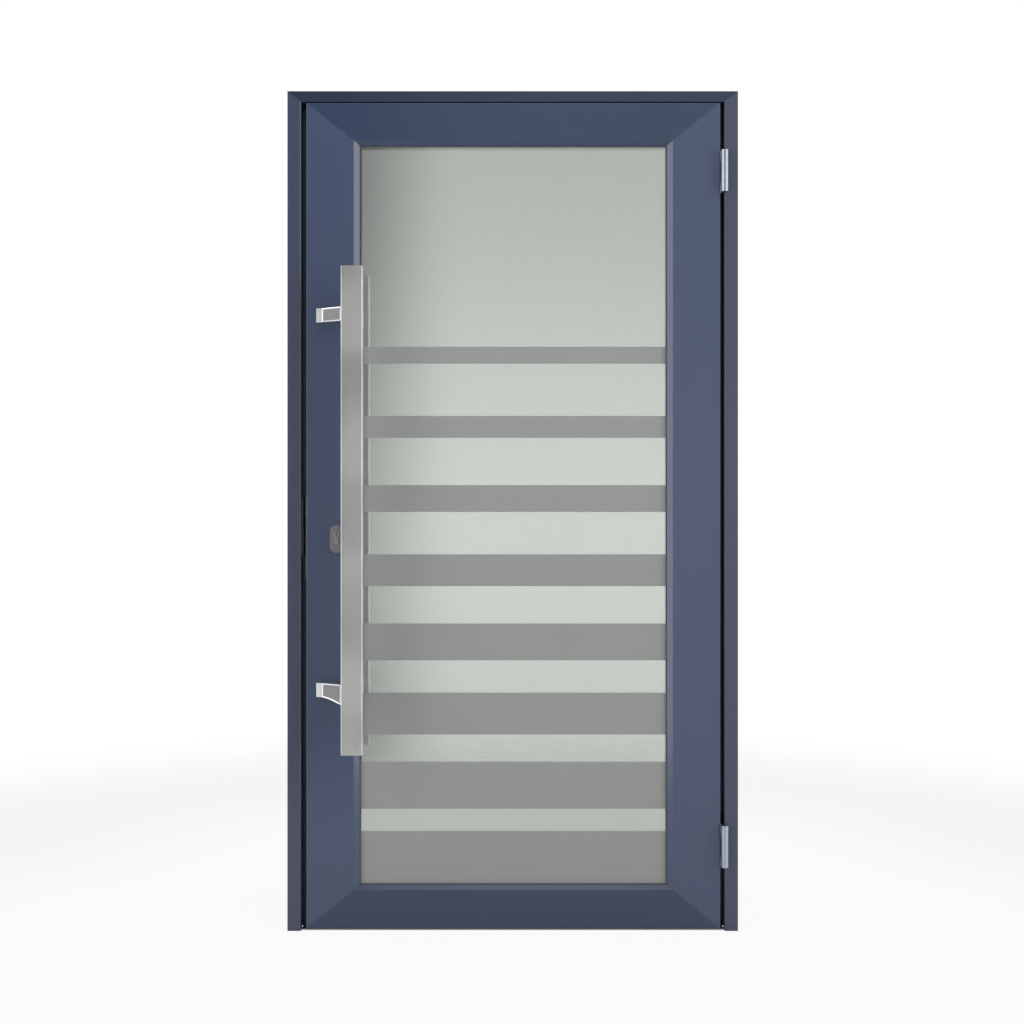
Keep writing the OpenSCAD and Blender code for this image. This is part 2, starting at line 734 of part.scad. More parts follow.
// Front outline of a bracket, round its middle: its lower edge sweeps down by flare
function bracket_front(flare) = concat(
    [for (i = [0:10]) let (t = i / 10) [foot_x0 + 12 + (arm_x1 - 6 - foot_x0 - 12) * t,
        -bracket_h / 2 - flare * (1 - cos(180 * t)) / 2]],
    [[arm_x1 + 1, -bracket_h / 2 - flare], [arm_x1 + 1, bracket_h / 2],
     [foot_x0 - 1, bracket_h / 2], [foot_x0 - 1, -bracket_h / 2]]);

module bracket_form(z, flare) {
    intersection() {
        translate([0, 0, z - bracket_h / 2 - flare]) linear_extrude(bracket_h + flare) polygon(bracket_plan);
        translate([0, face_y + 1, z]) rotate([90, 0, 0])
            linear_extrude(bar_clear + 2) polygon(bracket_front(flare));
    }
}

module pull_brackets() {
    color(steel) for (z = bracket_z) difference() {
        if (z < bar_z) bracket_form(z, bracket_flare);
        else bracket_form(z, 0);
        bore_y(bolt_x, z, -12, 1, bolt_r);
        bore_y(bar_x, z, -bar_clear - 1, -bar_clear + 40, 2.5);
        bore_y(bar_x, z, -bar_clear + 14, 1, 5);
    }
}

module pull_bolts() {
    color(steel) for (z = bracket_z) {
        bore_y(bolt_x, z, -12, leaf_d + 1, bolt_r);
        bore_y(bolt_x, z, leaf_d, leaf_d + 2, 9);
    }
}

module pull_bolt_caps() {
    color(steel) for (z = bracket_z) difference() {
        bore_y(bolt_x, z, leaf_d, leaf_d + cap_t, 12);
        bore_y(bolt_x, z, leaf_d - 1, leaf_d + 2, 9);
    }
}

// Screws that hold the bar to its brackets
module bar_screws() {
    color(steel) for (z = bracket_z) {
        bore_y(bar_x, z, -bar_clear - bar_t / 2, -bar_clear + 14, 2.5);
        bore_y(bar_x, z, -bar_clear + 14, -bar_clear + 17, 4.6);
    }
}

// ---- lock ----

module rose(v0, v1, v_step) {
    difference() {
        union() {
            oval(lock_x, rose_z, rose_w, rose_h, min(v0, v_step), max(v0, v_step));
            oval(lock_x, rose_z, rose_w - 5, rose_h - 5, min(v0, v1), max(v0, v1));
        }
        lock_outline(min(v0, v1) - 1, max(v0, v1) + 1, 0.3);
    }
}

module rose_outer() {
    color(steel) rose(0, -rose_t, -rose_t + 3);
}

module rose_inner() {
    color(steel) difference() {
        rose(leaf_d, leaf_d + rose_t, leaf_d + rose_t - 3);
        for (s = [-1, 1]) bore_y(lock_x, rose_z + s * rose_screw_off, leaf_d - 1, leaf_d + rose_t + 1, 2);
    }
}

// The inner escutcheon's two screws
module rose_screws() {
    color(silver) for (s = [-1, 1])
        bore_y(lock_x, rose_z + s * rose_screw_off, leaf_d - wall, leaf_d + rose_t, 2);
}

module cylinder_body() {
    color(silver) difference() {
        lock_outline(-rose_t - cyl_out, leaf_d + rose_t + cyl_out, 0);
        bore_y(lock_x, lock_z, -rose_t - cyl_out - 1, leaf_d + rose_t + cyl_out + 1, plug_r + pin_fit);
        block(lock_x - cyl_r - 1, lock_x + cyl_r + 1, lock_v - cam_t / 2 - 0.4, lock_v + cam_t / 2 + 0.4,
            lock_z - cam_r - 1, lock_z + cyl_r + 1);
    }
}

// The plug that the key turns
module key_plug() {
    v0 = -rose_t - cyl_out - 1;
    color(steel) difference() {
        bore_y(lock_x, lock_z, v0, lock_v - cam_t / 2 - 0.8, plug_r);
        block(lock_x - 1.2, lock_x + 1.2, v0 - 1, v0 + 18, lock_z - plug_r + 2.5, lock_z + plug_r - 2.5);
    }
}

// Knob, shaft and cam: the cam drives the dead bolt
module thumb_turn() {
    v1 = leaf_d + rose_t + cyl_out;
    color(steel) {
        bore_y(lock_x, lock_z, lock_v - cam_t / 2 - 0.2, v1 + 1, plug_r);
        bore_y(lock_x, lock_z, v1 + 0.6, v1 + 8, 11);
        block(lock_x - 5, lock_x + 5, v1 + 7, v1 + 26, lock_z - 15, lock_z + 15);
        block(lock_x - 4, lock_x + 4, lock_v - cam_t / 2, lock_v + cam_t / 2, lock_z - 1, lock_z + cam_r);
    }
}

module lock_case() {
    cx1 = lx0 + floor_u - 8;
    cv0 = lock_v - case_t / 2;
    cv1 = lock_v + case_t / 2;
    color(silver) difference() {
        block(lx0, cx1, cv0, cv1, case_z0, case_z1);
        lock_outline(cv0 - 1, cv1 + 1, 0.4);
        bore_y(lock_x, lock_z, lock_v - cam_t / 2 - 0.5, lock_v + cam_t / 2 + 0.5, cam_r + 1.5);
        block(lx0 - 1, lx0 + dead_l + 1, lock_v - dead_t / 2 - dead_fit, lock_v + dead_t / 2 + dead_fit,
            lock_z - dead_h / 2 - dead_fit, lock_z + dead_h / 2 + dead_fit);
        block(lx0 - 1, lx0 + fork_l + 12, lock_v - dead_t / 2 - dead_fit, lock_v + dead_t / 2 + dead_fit,
            roller_z - fork_h / 2 - dead_fit, roller_z + fork_h / 2 + dead_fit);
        block(lx0 - 1, roller_x + roller_r + fork_travel + 1, cv0 - 1, cv1 + 1,
            roller_z - roller_h / 2 - roller_side, roller_z + roller_h / 2 + roller_side);
    }
}

plate_screw_z = [plate_z0 + 8, plate_z1 - 8];

module faceplate() {
    color(steel) difference() {
        block(lx0 - plate_t, lx0, lock_v - plate_w / 2, lock_v + plate_w / 2, plate_z0, plate_z1);
        block(lx0 - plate_t - 1, lx0 + 1, lock_v - dead_t / 2 - dead_fit, lock_v + dead_t / 2 + dead_fit,
            lock_z - dead_h / 2 - dead_fit, lock_z + dead_h / 2 + dead_fit);
        block(lx0 - plate_t - 1, lx0 + 1, lock_v - roller_r - roller_side, lock_v + roller_r + roller_side,
            roller_z - fork_h / 2 - dead_fit, roller_z + fork_h / 2 + dead_fit);
        for (z = plate_screw_z) bore_x(lx0 - plate_t - 1, lx0 + 1, lock_v, z, head_r);
    }
}

module faceplate_screws() {
    color(silver) for (z = plate_screw_z) screw_x(lx0 - plate_t, 1, lock_v, z, plate_t);
}

module dead_bolt() {
    color(steel) block(lx0 - plate_t, lx0 - plate_t + dead_l, lock_v - dead_t / 2, lock_v + dead_t / 2,
        lock_z - dead_h / 2, lock_z + dead_h / 2);
}

// Sliding fork that carries the roller
module latch_fork() {
    color(silver) difference() {
        block(lx0 - plate_t + 1, lx0 - plate_t + 1 + fork_l, lock_v - dead_t / 2, lock_v + dead_t / 2,
            roller_z - fork_h / 2, roller_z + fork_h / 2);
        block(lx0 - plate_t, roller_x + roller_r + 1, lock_v - dead_t, lock_v + dead_t,
            roller_z - roller_h / 2 - 0.4, roller_z + roller_h / 2 + 0.4);
        translate([roller_x, face_y + lock_v, roller_z - fork_h / 2 + 1])
            cylinder(h = fork_h - 2, r = latch_pin_r, $fn = 48);
    }
}

module latch_roller() {
    color([0.85, 0.85, 0.82]) translate([roller_x, face_y + lock_v, roller_z - roller_h / 2]) difference() {
        cylinder(h = roller_h, r = roller_r, $fn = 96);
        translate([0, 0, -1]) cylinder(h = roller_h + 2, r = latch_pin_r + pin_fit, $fn = 48);
    }
}

module latch_pin() {
    color(steel) translate([roller_x, face_y + lock_v, roller_z - fork_h / 2 + 1])
        cylinder(h = fork_h - 2, r = latch_pin_r, $fn = 48);
}

strike_screw_z = [strike_z0 + 8, strike_z1 - 8];
strike_screw_v = frame_in_v + 6;

module strike_plate() {
    color(steel) difference() {
        block(jamb_x, jamb_x + plate_t, strike_v0, strike_v1, strike_z0, strike_z1);
        block(jamb_x - 1, jamb_x + plate_t + 1, lock_v - dead_t / 2 - 1.2, lock_v + dead_t / 2 + 1.2,
            lock_z - dead_h / 2 - 3, lock_z + dead_h / 2 + 3);
        for (z = strike_screw_z) bore_x(jamb_x - 1, jamb_x + plate_t + 1, strike_screw_v, z, head_r);
    }
}

module strike_screws() {
    color(silver) for (z = strike_screw_z) screw_x(jamb_x + plate_t, -1, strike_screw_v, z, plate_t);
}

// ---- inner pull ----

module inner_pull() {
    color(steel) {
        translate([inner_x, inner_y, inner_z[0] - 25]) cylinder(h = inner_span + 50, d = inner_dia, $fn = 96);
        for (z = inner_z) {
            bore_y(inner_x, z, leaf_d, leaf_d + inner_clear + inner_dia / 2, inner_dia / 2 - 3);
            bore_y(inner_x, z, leaf_d, leaf_d + 6, inner_dia / 2 + 7);
            bore_y(inner_x, z, leaf_d - stud_l, leaf_d + 1, bolt_r);
        }
    }
}

jamb_lock_outer();
jamb_hinge_outer();
head_outer();
jamb_lock_inner();
jamb_hinge_inner();
head_inner();
frame_break_bars();
frame_cleats();
threshold();
stop_gasket();
sill_gasket();
stile_lock_outer();
stile_hinge_outer();
rail_top_outer();
rail_bottom_outer();
stile_lock_inner();
stile_hinge_inner();
rail_top_inner();
rail_bottom_inner();
leaf_break_bars();
leaf_cleats();
bead_lock();
bead_hinge();
bead_top();
bead_bottom();
gasket_outer();
gasket_inner();
pane_outer();
pane_inner();
pane_spacer();
pane_seal();
setting_blocks();
hinge_frame_high();
hinge_frame_low();
hinge_leaf_high();
hinge_leaf_low();
hinge_pins();
hinge_frame_screws();
hinge_leaf_screws();
pull_bar();
pull_brackets();
pull_bolts();
pull_bolt_caps();
bar_screws();
rose_outer();
rose_inner();
rose_screws();
cylinder_body();
key_plug();
thumb_turn();
lock_case();
faceplate();
faceplate_screws();
dead_bolt();
latch_fork();
latch_roller();
latch_pin();
strike_plate();
strike_screws();
inner_pull();
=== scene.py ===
import bmesh
import bpy
import math
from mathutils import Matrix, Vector


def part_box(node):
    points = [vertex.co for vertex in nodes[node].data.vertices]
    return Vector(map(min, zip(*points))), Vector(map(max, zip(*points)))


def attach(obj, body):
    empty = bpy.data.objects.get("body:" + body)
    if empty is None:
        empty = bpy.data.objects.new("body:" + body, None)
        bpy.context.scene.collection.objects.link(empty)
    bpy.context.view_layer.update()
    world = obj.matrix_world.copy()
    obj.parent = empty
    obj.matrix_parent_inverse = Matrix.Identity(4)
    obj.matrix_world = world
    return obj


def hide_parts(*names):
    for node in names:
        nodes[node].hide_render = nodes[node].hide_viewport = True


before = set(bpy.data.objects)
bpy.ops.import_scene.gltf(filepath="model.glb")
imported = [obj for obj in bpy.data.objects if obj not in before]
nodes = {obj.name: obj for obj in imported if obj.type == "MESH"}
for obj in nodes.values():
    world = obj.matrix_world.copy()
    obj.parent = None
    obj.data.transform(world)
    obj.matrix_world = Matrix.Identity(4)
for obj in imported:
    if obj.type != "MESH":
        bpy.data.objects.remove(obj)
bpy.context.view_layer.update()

# ---- Finishes: a value on a surface is ordinary arithmetic, and each step adds its node ----

MIX_A = 6                  # a Mix node's sockets when it mixes colours
MIX_B = 7
MIX_RESULT = 2


class Value:
    """A number, colour or vector in a finish."""

    def __init__(self, graph, socket):
        self.graph, self.socket = graph, socket

    def step(self, operation, *others):
        """One sum on values."""
        return self.graph.node("ShaderNodeMath", {"operation": operation}, dict(enumerate(others)))

    def __add__(self, other):
        return self.step("ADD", self, other)

    def __radd__(self, other):
        return self.step("ADD", other, self)

    def __sub__(self, other):
        return self.step("SUBTRACT", self, other)

    def __rsub__(self, other):
        return self.step("SUBTRACT", other, self)

    def __mul__(self, other):
        return self.step("MULTIPLY", self, other)

    def __rmul__(self, other):
        return self.step("MULTIPLY", other, self)

    def __truediv__(self, other):
        return self.step("DIVIDE", self, other)

    def __gt__(self, other):
        return self.step("GREATER_THAN", self, other)


class Graph:
    """A node tree that is filled by expressions."""

    def __init__(self, tree):
        self.tree = tree

    def node(self, kind, settings=None, inputs=None, output=0):
        """Adds a node with its settings and the values or links of its sockets, and gives one output."""
        made = self.tree.nodes.new(kind)
        for key, value in (settings or {}).items():
            setattr(made, key, value)
        for key, value in (inputs or {}).items():
            self.feed(made.inputs[key], value)
        return Value(self, made.outputs[output])

    def feed(self, socket, value):
        if isinstance(value, Value):
            self.tree.links.new(value.socket, socket)
        else:
            socket.default_value = value

    def between(self, low, high, amount):
        """A colour between two, by amount."""
        return self.node("ShaderNodeMix", {"data_type": "RGBA"},
                         {"Factor": amount, MIX_A: low, MIX_B: high}, output=MIX_RESULT)

    def smooth(self, value, start, end, low=0.0, high=1.0):
        """Eases from low at start to high at end."""
        return self.node("ShaderNodeMapRange", {"interpolation_type": "SMOOTHSTEP"},
                         {"Value": value, "From Min": start, "From Max": end, "To Min": low, "To Max": high})

    def parts(self, vector):
        """The x, y and z of a vector."""
        split = self.node("ShaderNodeSeparateXYZ", None, {0: vector}).socket.node
        return [Value(self, split.outputs[i]) for i in range(3)]


class Finish(Graph):
    """One material, built round a Principled surface."""

    def __init__(self, name, **fixed):
        self.material = bpy.data.materials.new(name)
        self.material.use_nodes = True
        super().__init__(self.material.node_tree)
        self.surface = self.tree.nodes["Principled BSDF"]
        for socket, value in fixed.items():
            self.surface.inputs[self.label(socket)].default_value = value

    def label(self, socket):
        """A socket's name in the surface's own spelling."""
        return socket.replace("_", " ").title().replace("Ior", "IOR")

    def set(self, **inputs):
        for socket, value in inputs.items():
            self.feed(self.surface.inputs[self.label(socket)], value)

    def place(self, stretch=(1, 1, 1)):
        """Where a point lies on the door, in metres, stretched for a grain."""
        here = self.node("ShaderNodeTexCoord", output="Object")
        return self.node("ShaderNodeMapping", None, {"Vector": here, "Scale": stretch})

    def noise(self, scale, detail=2.0, stretch=(1, 1, 1), rough=0.5):
        return self.node("ShaderNodeTexNoise", None,
                         {"Vector": self.place(stretch), "Scale": scale, "Detail": detail,
                          "Roughness": rough})

    def relief(self, height, depth):
        """Raises and sinks the surface by height, up to depth metres."""
        bump = self.node("ShaderNodeBump", None, {"Height": height, "Distance": depth, "Strength": 1.0})
        self.feed(self.surface.inputs["Normal"], bump)


def screen(r, g, b):
    """A screen colour of 0 to 255 as linear light."""
    return tuple(((c / 255 + 0.055) / 1.055) ** 2.4 for c in (r, g, b)) + (1.0,)


def shade(colour, factor):
    """The same colour, darker or lighter."""
    return tuple(c * factor for c in colour[:3]) + (colour[3],)


# Stretch of a grain that runs along each axis, and of the soft patches across it
GRAIN = {"x": (0.02, 1, 1), "z": (1, 1, 0.02)}
PATCH = {"x": (1, 0.4, 0.4), "z": (0.4, 0.4, 1)}
STEEL_DRIFT = 0.22         # how far brushed steel strays from its own tone


def powder_coat(name, colour, along, roughness=0.4):
    """Baked slate-blue powder: fine orange peel, and faint streaks left by the die along the profile."""
    f = Finish(name, ior=1.38, coat_weight=0.8, coat_roughness=0.15)
    clouds = f.noise(2.2, 3.0)
    streaks = f.noise(260, 3.0, GRAIN[along], 0.6)
    peel = f.noise(950, 1.0)
    dust = f.noise(60, 4.0)
    f.set(base_color=f.between(shade(colour, 0.86), shade(colour, 1.14), clouds * 0.45 + streaks * 0.55),
          roughness=roughness - 0.05 + 0.08 * dust + 0.04 * clouds)
    f.relief(peel * 0.7 + streaks * 0.3, 0.00012)
    return f.material


def brushed_steel(name, along, colour, roughness=0.34):
    """Stainless steel brushed along one axis, with broad soft patches where the belt pressed harder."""
    f = Finish(name, metallic=1.0)
    grain = f.noise(900, 2.0, GRAIN[along])
    bands = f.noise(150, 2.0, GRAIN[along])
    patches = f.smooth(f.noise(5, 1.0, PATCH[along]), 0.35, 0.65)
    tone = grain * 0.3 + bands * 0.2 + patches * 0.5
    f.set(base_color=f.between(shade(colour, 1 - STEEL_DRIFT), shade(colour, 1 + STEEL_DRIFT), tone),
          roughness=roughness - 0.09 + 0.12 * grain + 0.08 * patches)
    f.relief(grain, 0.00003)
    return f.material


SATIN_GRAIN = 260


def satin_metal(name, colour, roughness):
    """Plated or anodised metal with a fine even grain."""
    f = Finish(name, metallic=1.0)
    fine = f.noise(SATIN_GRAIN * 4, 2.0)
    patch = f.noise(SATIN_GRAIN / 6, 3.0)
    f.set(base_color=f.between(shade(colour, 0.9), shade(colour, 1.08), patch),
          roughness=roughness - 0.05 + 0.1 * patch + 0.04 * fine)
    f.relief(fine, 0.00003)
    return f.material


def plain_plastic(name, colour, roughness):
    """Moulded plastic or rubber with a fine bloom."""
    f = Finish(name, ior=1.48)
    fine = f.noise(500, 2.0)
    patch = f.noise(25, 3.0)
    f.set(base_color=f.between(shade(colour, 0.85), shade(colour, 1.15), patch),
          roughness=roughness - 0.06 + 0.12 * fine)
    f.relief(fine, 0.00006)
    return f.material


def tinted_glass():
    """Reflective solar-control glass with a grey-green cast."""
    f = Finish("tinted_glass", metallic=0.96, roughness=0.02)
    clouds = f.noise(1.1, 2.0)
    f.set(base_color=f.between((0.70, 0.76, 0.69, 1), (0.74, 0.79, 0.73, 1), clouds),
          alpha=0.52 + 0.03 * clouds)
    return f.material


def matt_glass():
    """Sandblasted band: even pale grey with a fine grit."""
    f = Finish("sandblasted_glass", ior=1.5)
    grit = f.noise(1400, 2.0)
    clouds = f.noise(5, 3.0)
    f.set(base_color=f.between(screen(150, 152, 151), screen(156, 158, 157), clouds),
          roughness=0.6 + 0.1 * grit, alpha=0.985 - 0.01 * clouds)
    f.relief(grit, 0.00005)
    return f.material


def inner_glass():
    """Clear pane on the room side, a little green in its depth."""
    f = Finish("inner_glass", roughness=0.03, ior=1.5)
    clouds = f.noise(0.8, 2.0)
    f.set(base_color=f.between((0.10, 0.13, 0.11, 1), (0.13, 0.16, 0.13, 1), clouds),
          alpha=0.28 + 0.03 * clouds)
    return f.material


finishes = {
    # The four coats are one slate-blue powder coat in lit and shaded copies: painted light on the stiles and
    # side beads, painted shade on the jambs, more on the rails and the top and bottom beads, and most on the
    # head.
    "upright": powder_coat("upright_coat_lit", screen(65, 78, 106), "z"),
    "rail": powder_coat("rail_coat_shaded", screen(44, 61, 89), "x"),
    "jamb": powder_coat("jamb_coat_shaded", screen(63, 71, 93), "z"),
    "head": powder_coat("head_coat_shaded", screen(32, 45, 70), "x"),
    "bar": brushed_steel("brushed_bar", "z", (0.62, 0.62, 0.61, 1)),
    "bracket": brushed_steel("brushed_bracket", "x", (0.72, 0.72, 0.74, 1), 0.36),
    # Dark metal in the brackets' shallow recess: painted shade for the shadow inside it.
    "recess_shade": satin_metal("recess_painted_shade", (0.24, 0.238, 0.245, 1), 0.5),
    "turned": satin_metal("turned_steel", (0.55, 0.55, 0.54, 1), 0.3),
    "pull": brushed_steel("brushed_pull", "z", (0.5, 0.5, 0.49, 1), 0.3),
    "rose": satin_metal("satin_escutcheon", (0.29, 0.285, 0.305, 1), 0.36),
    "nickel": satin_metal("nickel_plate", (0.40, 0.38, 0.35, 1), 0.3),
    "strike": satin_metal("dark_strike_plate", (0.10, 0.105, 0.115, 1), 0.4),
    "anodised": satin_metal("anodised_hinge", (0.46, 0.51, 0.57, 1), 0.34),
    "mill": satin_metal("mill_aluminium", (0.62, 0.63, 0.64, 1), 0.4),
    # Rubber: dark like real rubber, with a navy cast that is painted light, standing in for blue light
    # bounced into the door gaps.
    "rubber": plain_plastic("gasket_rubber", (0.045, 0.052, 0.072, 1), 0.6),
    "sealant": plain_plastic("edge_sealant", (0.02, 0.02, 0.022, 1), 0.7),
    "nylon": plain_plastic("latch_nylon", (0.05, 0.05, 0.055, 1), 0.4),
    "polyamide": plain_plastic("insulating_bar", (0.02, 0.02, 0.022, 1), 0.6),
    "block": plain_plastic("setting_block", (0.05, 0.1, 0.25, 1), 0.5),
    "clear": tinted_glass(),
    "matt": matt_glass(),
    "inner": inner_glass(),
}

coats = {
    "upright": ["stile_lock_outer", "stile_hinge_outer", "stile_lock_inner", "stile_hinge_inner",
                "bead_lock", "bead_hinge"],
    "rail": ["rail_top_outer", "rail_top_inner", "bead_top", "rail_bottom_outer", "rail_bottom_inner",
             "bead_bottom"],
    "head": ["head_outer", "head_inner"],
    "jamb": ["jamb_lock_outer", "jamb_lock_inner", "jamb_hinge_outer", "jamb_hinge_inner"],
    "turned": ["pull_bolts", "hinge_pins"],
    "nickel": ["lock_case", "dead_bolt", "latch_fork", "latch_pin"],
    "mill": ["threshold", "frame_cleats", "leaf_cleats", "pane_spacer"],
    "rubber": ["stop_gasket", "sill_gasket", "gasket_outer", "gasket_inner"],
    "sealant": ["pane_seal"],
    "nylon": ["latch_roller"],
    "polyamide": ["frame_break_bars", "leaf_break_bars"],
    "block": ["setting_blocks"],
}
for finish, names in coats.items():
    for name in names:
        for place in nodes[name].material_slots:
            place.material = finishes[finish]


# ---- Shapes that pieces share ----

SOFT_ANGLE = math.radians(32)    # a flatter edge than this is shaded round
FLAT_ANGLE = math.radians(0.6)   # faces that meet flatter than this are one face
WELD = 0.00001             # corners nearer than this are one corner
LOBES = 6                  # a driver recess's lobes, and how far each swells
LOBE_SWELL = 0.14


def piece(name, mesh, body, stands_for, materials):
    """A finished piece: it rides on its body and stands for its plain CAD solids."""
    bmesh.ops.recalc_face_normals(mesh, faces=mesh.faces)
    data = bpy.data.meshes.new(name)
    mesh.to_mesh(data)
    mesh.free()
    data.shade_smooth()
    data.set_sharp_from_angle(angle=SOFT_ANGLE)
    made = bpy.data.objects.new(name, data)
    bpy.context.scene.collection.objects.link(made)
    for material in materials:
        data.materials.append(finishes[material])
    even = made.modifiers.new("even_faces", "WEIGHTED_NORMAL")
    even.keep_sharp = True
    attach(made, body)
    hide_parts(*stands_for)


def box_mesh(low, high):
    """A box between two corners."""
    mesh = bmesh.new()
    bmesh.ops.create_cube(mesh, size=1.0)
    bmesh.ops.scale(mesh, vec=[b - a for a, b in zip(low, high)], verts=mesh.verts)
    bmesh.ops.translate(mesh, vec=[(a + b) / 2 for a, b in zip(low, high)], verts=mesh.verts)
    return mesh


def bevel(mesh, edges, radius, segments=3):
    """Rounds the given edges."""
    bmesh.ops.bevel(mesh, geom=edges, offset=radius, segments=segments, affect="EDGES", profile=0.5,
                    material=-1, clamp_overlap=True)


def cad_copy(node):
    """A welded copy of a CAD solid, with its flat faces whole again."""
    mesh = bmesh.new()
    mesh.from_mesh(nodes[node].data)
    bmesh.ops.remove_doubles(mesh, verts=mesh.verts, dist=WELD)
    bmesh.ops.dissolve_limit(mesh, angle_limit=FLAT_ANGLE, verts=mesh.verts, edges=mesh.edges)
    return mesh


def corners(mesh, least=40):
    """The outward edges that a file would take off."""
    return [e for e in mesh.edges if len(e.link_faces) == 2 and e.is_convex
            and e.calc_face_angle() > math.radians(least)]


def cut_level(mesh, z):
    """Adds edges all round at one height."""
    bmesh.ops.bisect_plane(mesh, geom=mesh.verts[:] + mesh.edges[:] + mesh.faces[:], plane_co=(0, 0, z),
                           plane_no=(0, 0, 1))


def drive_recess(mesh, face, rim, depth):
    """Presses a six-lobed driver recess into a round head."""
    bmesh.ops.inset_individual(mesh, faces=[face], thickness=rim, use_even_offset=True)
    middle = face.calc_center_median()
    outward = face.normal.copy()
    first = (face.verts[0].co - middle).normalized()
    second = outward.cross(first)
    for vert in face.verts:
        arm = vert.co - middle
        turn = math.atan2(arm.dot(second), arm.dot(first))
        vert.co = middle + arm * (1 + LOBE_SWELL * math.cos(LOBES * turn))
    floor = bmesh.ops.extrude_discrete_faces(mesh, faces=[face])["faces"][0]
    bmesh.ops.translate(mesh, vec=-outward * depth, verts=floor.verts)


# ---- Glass ----

PANE_ARRIS = 0.0006        # the panes' ground edge
BANDS = 8
FIRST_BAND_TOP = 1.4625    # height above the floor
FIRST_BAND_HEIGHT = 0.0425
BAND_STEP = 0.17375        # from the top of one band to the top of the next
BAND_GROWTH = 0.0125       # how much taller each band is than the one above it
LAST_BAND_SPARE = 0.03     # how far the lowest band runs on behind the gasket


def banded_pane():
    """The outer pane, with eight matt bands, each taller than the one above it."""
    low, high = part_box("pane_outer")
    mesh = box_mesh(low, high)
    bevel(mesh, corners(mesh), PANE_ARRIS, 1)
    tops = [FIRST_BAND_TOP - BAND_STEP * i for i in range(BANDS)]
    bottoms = [top - FIRST_BAND_HEIGHT - BAND_GROWTH * i for i, top in enumerate(tops)]
    bottoms[-1] -= LAST_BAND_SPARE
    for z in tops + bottoms:
        cut_level(mesh, z)
    mesh.normal_update()
    for face in mesh.faces:
        middle = face.calc_center_median()
        banded = any(bottom < middle.z < top for top, bottom in zip(tops, bottoms))
        outside = face.normal.y < -0.9 and face.calc_area() > 0.001
        face.material_index = 1 if banded and outside else 0
    piece("banded_pane", mesh, "leaf", ["pane_outer"], ["clear", "matt"])


def clear_pane():
    """The inner pane."""
    low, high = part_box("pane_inner")
    mesh = box_mesh(low, high)
    bevel(mesh, corners(mesh), PANE_ARRIS, 1)
    piece("clear_pane", mesh, "leaf", ["pane_inner"], ["inner"])


banded_pane()
clear_pane()

# ---- Pull bar ----

BAR_CORNER = 0.003
CAP_THICKNESS = 0.005
CAP_EDGE = 0.0012
JOINT_WIDTH = 0.0007       # half the width of the joint at a cap, and its depth


def brushed_bar():
    """Rounded flat tube with a fine joint where each end cap goes in."""
    low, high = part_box("pull_bar")
    mesh = box_mesh(low, high)
    uprights = [e for e in mesh.edges if abs(e.verts[0].co.z - e.verts[1].co.z) > 0.1]
    bevel(mesh, uprights, BAR_CORNER, 6)
    middle = (low + high) / 2
    for joint in (low.z + CAP_THICKNESS, high.z - CAP_THICKNESS):
        for z in (joint - JOINT_WIDTH, joint, joint + JOINT_WIDTH):
            cut_level(mesh, z)
        ring = [v for v in mesh.verts if abs(v.co.z - joint) < JOINT_WIDTH / 2]
        for vert in ring:
            inward = Vector((middle.x - vert.co.x, middle.y - vert.co.y, 0)).normalized()
            vert.co += inward * JOINT_WIDTH
    ends = [e for e in mesh.edges if all(v.co.z < low.z + WELD for v in e.verts)
            or all(v.co.z > high.z - WELD for v in e.verts)]
    bevel(mesh, ends, CAP_EDGE, 3)
    piece("brushed_bar", mesh, "leaf", ["pull_bar"], ["bar"])


brushed_bar()

BRACKET_RIM = 0.003        # width of the polished border round the recess
BRACKET_CHAMFER = 0.0022
RECESS_DEPTH = 0.0012
LEAST_FRONT = 0.0008       # area in square metres that tells the slanted front from the small faces


def rimmed_brackets():
    """Cranked brackets with polished edges round a recess on the slanted front; the recess's dark metal is
    painted shade.
    """
    mesh = cad_copy("pull_brackets")
    mesh.normal_update()
    slant = [f for f in mesh.faces if -0.95 < f.normal.y < -0.5 and f.normal.x < -0.3
             and f.calc_area() > LEAST_FRONT]
    sunk = bmesh.ops.inset_region(mesh, faces=slant, thickness=BRACKET_RIM, use_even_offset=True)
    for vert in {v for f in slant for v in f.verts}:
        vert.co -= slant[0].normal * RECESS_DEPTH
    # The sunk faces take the dark finish: painted shade in the recess.
    for face in slant:
        face.material_index = 1
    rim = {e for f in slant + sunk["faces"] for e in f.edges}
    bevel(mesh, [e for e in corners(mesh, 25) if e not in rim], BRACKET_CHAMFER)
    piece("rimmed_brackets", mesh, "leaf", ["pull_brackets"], ["bracket", "recess_shade"])


rimmed_brackets()

# ---- Hardware whose CAD shape gets its worked edges ----

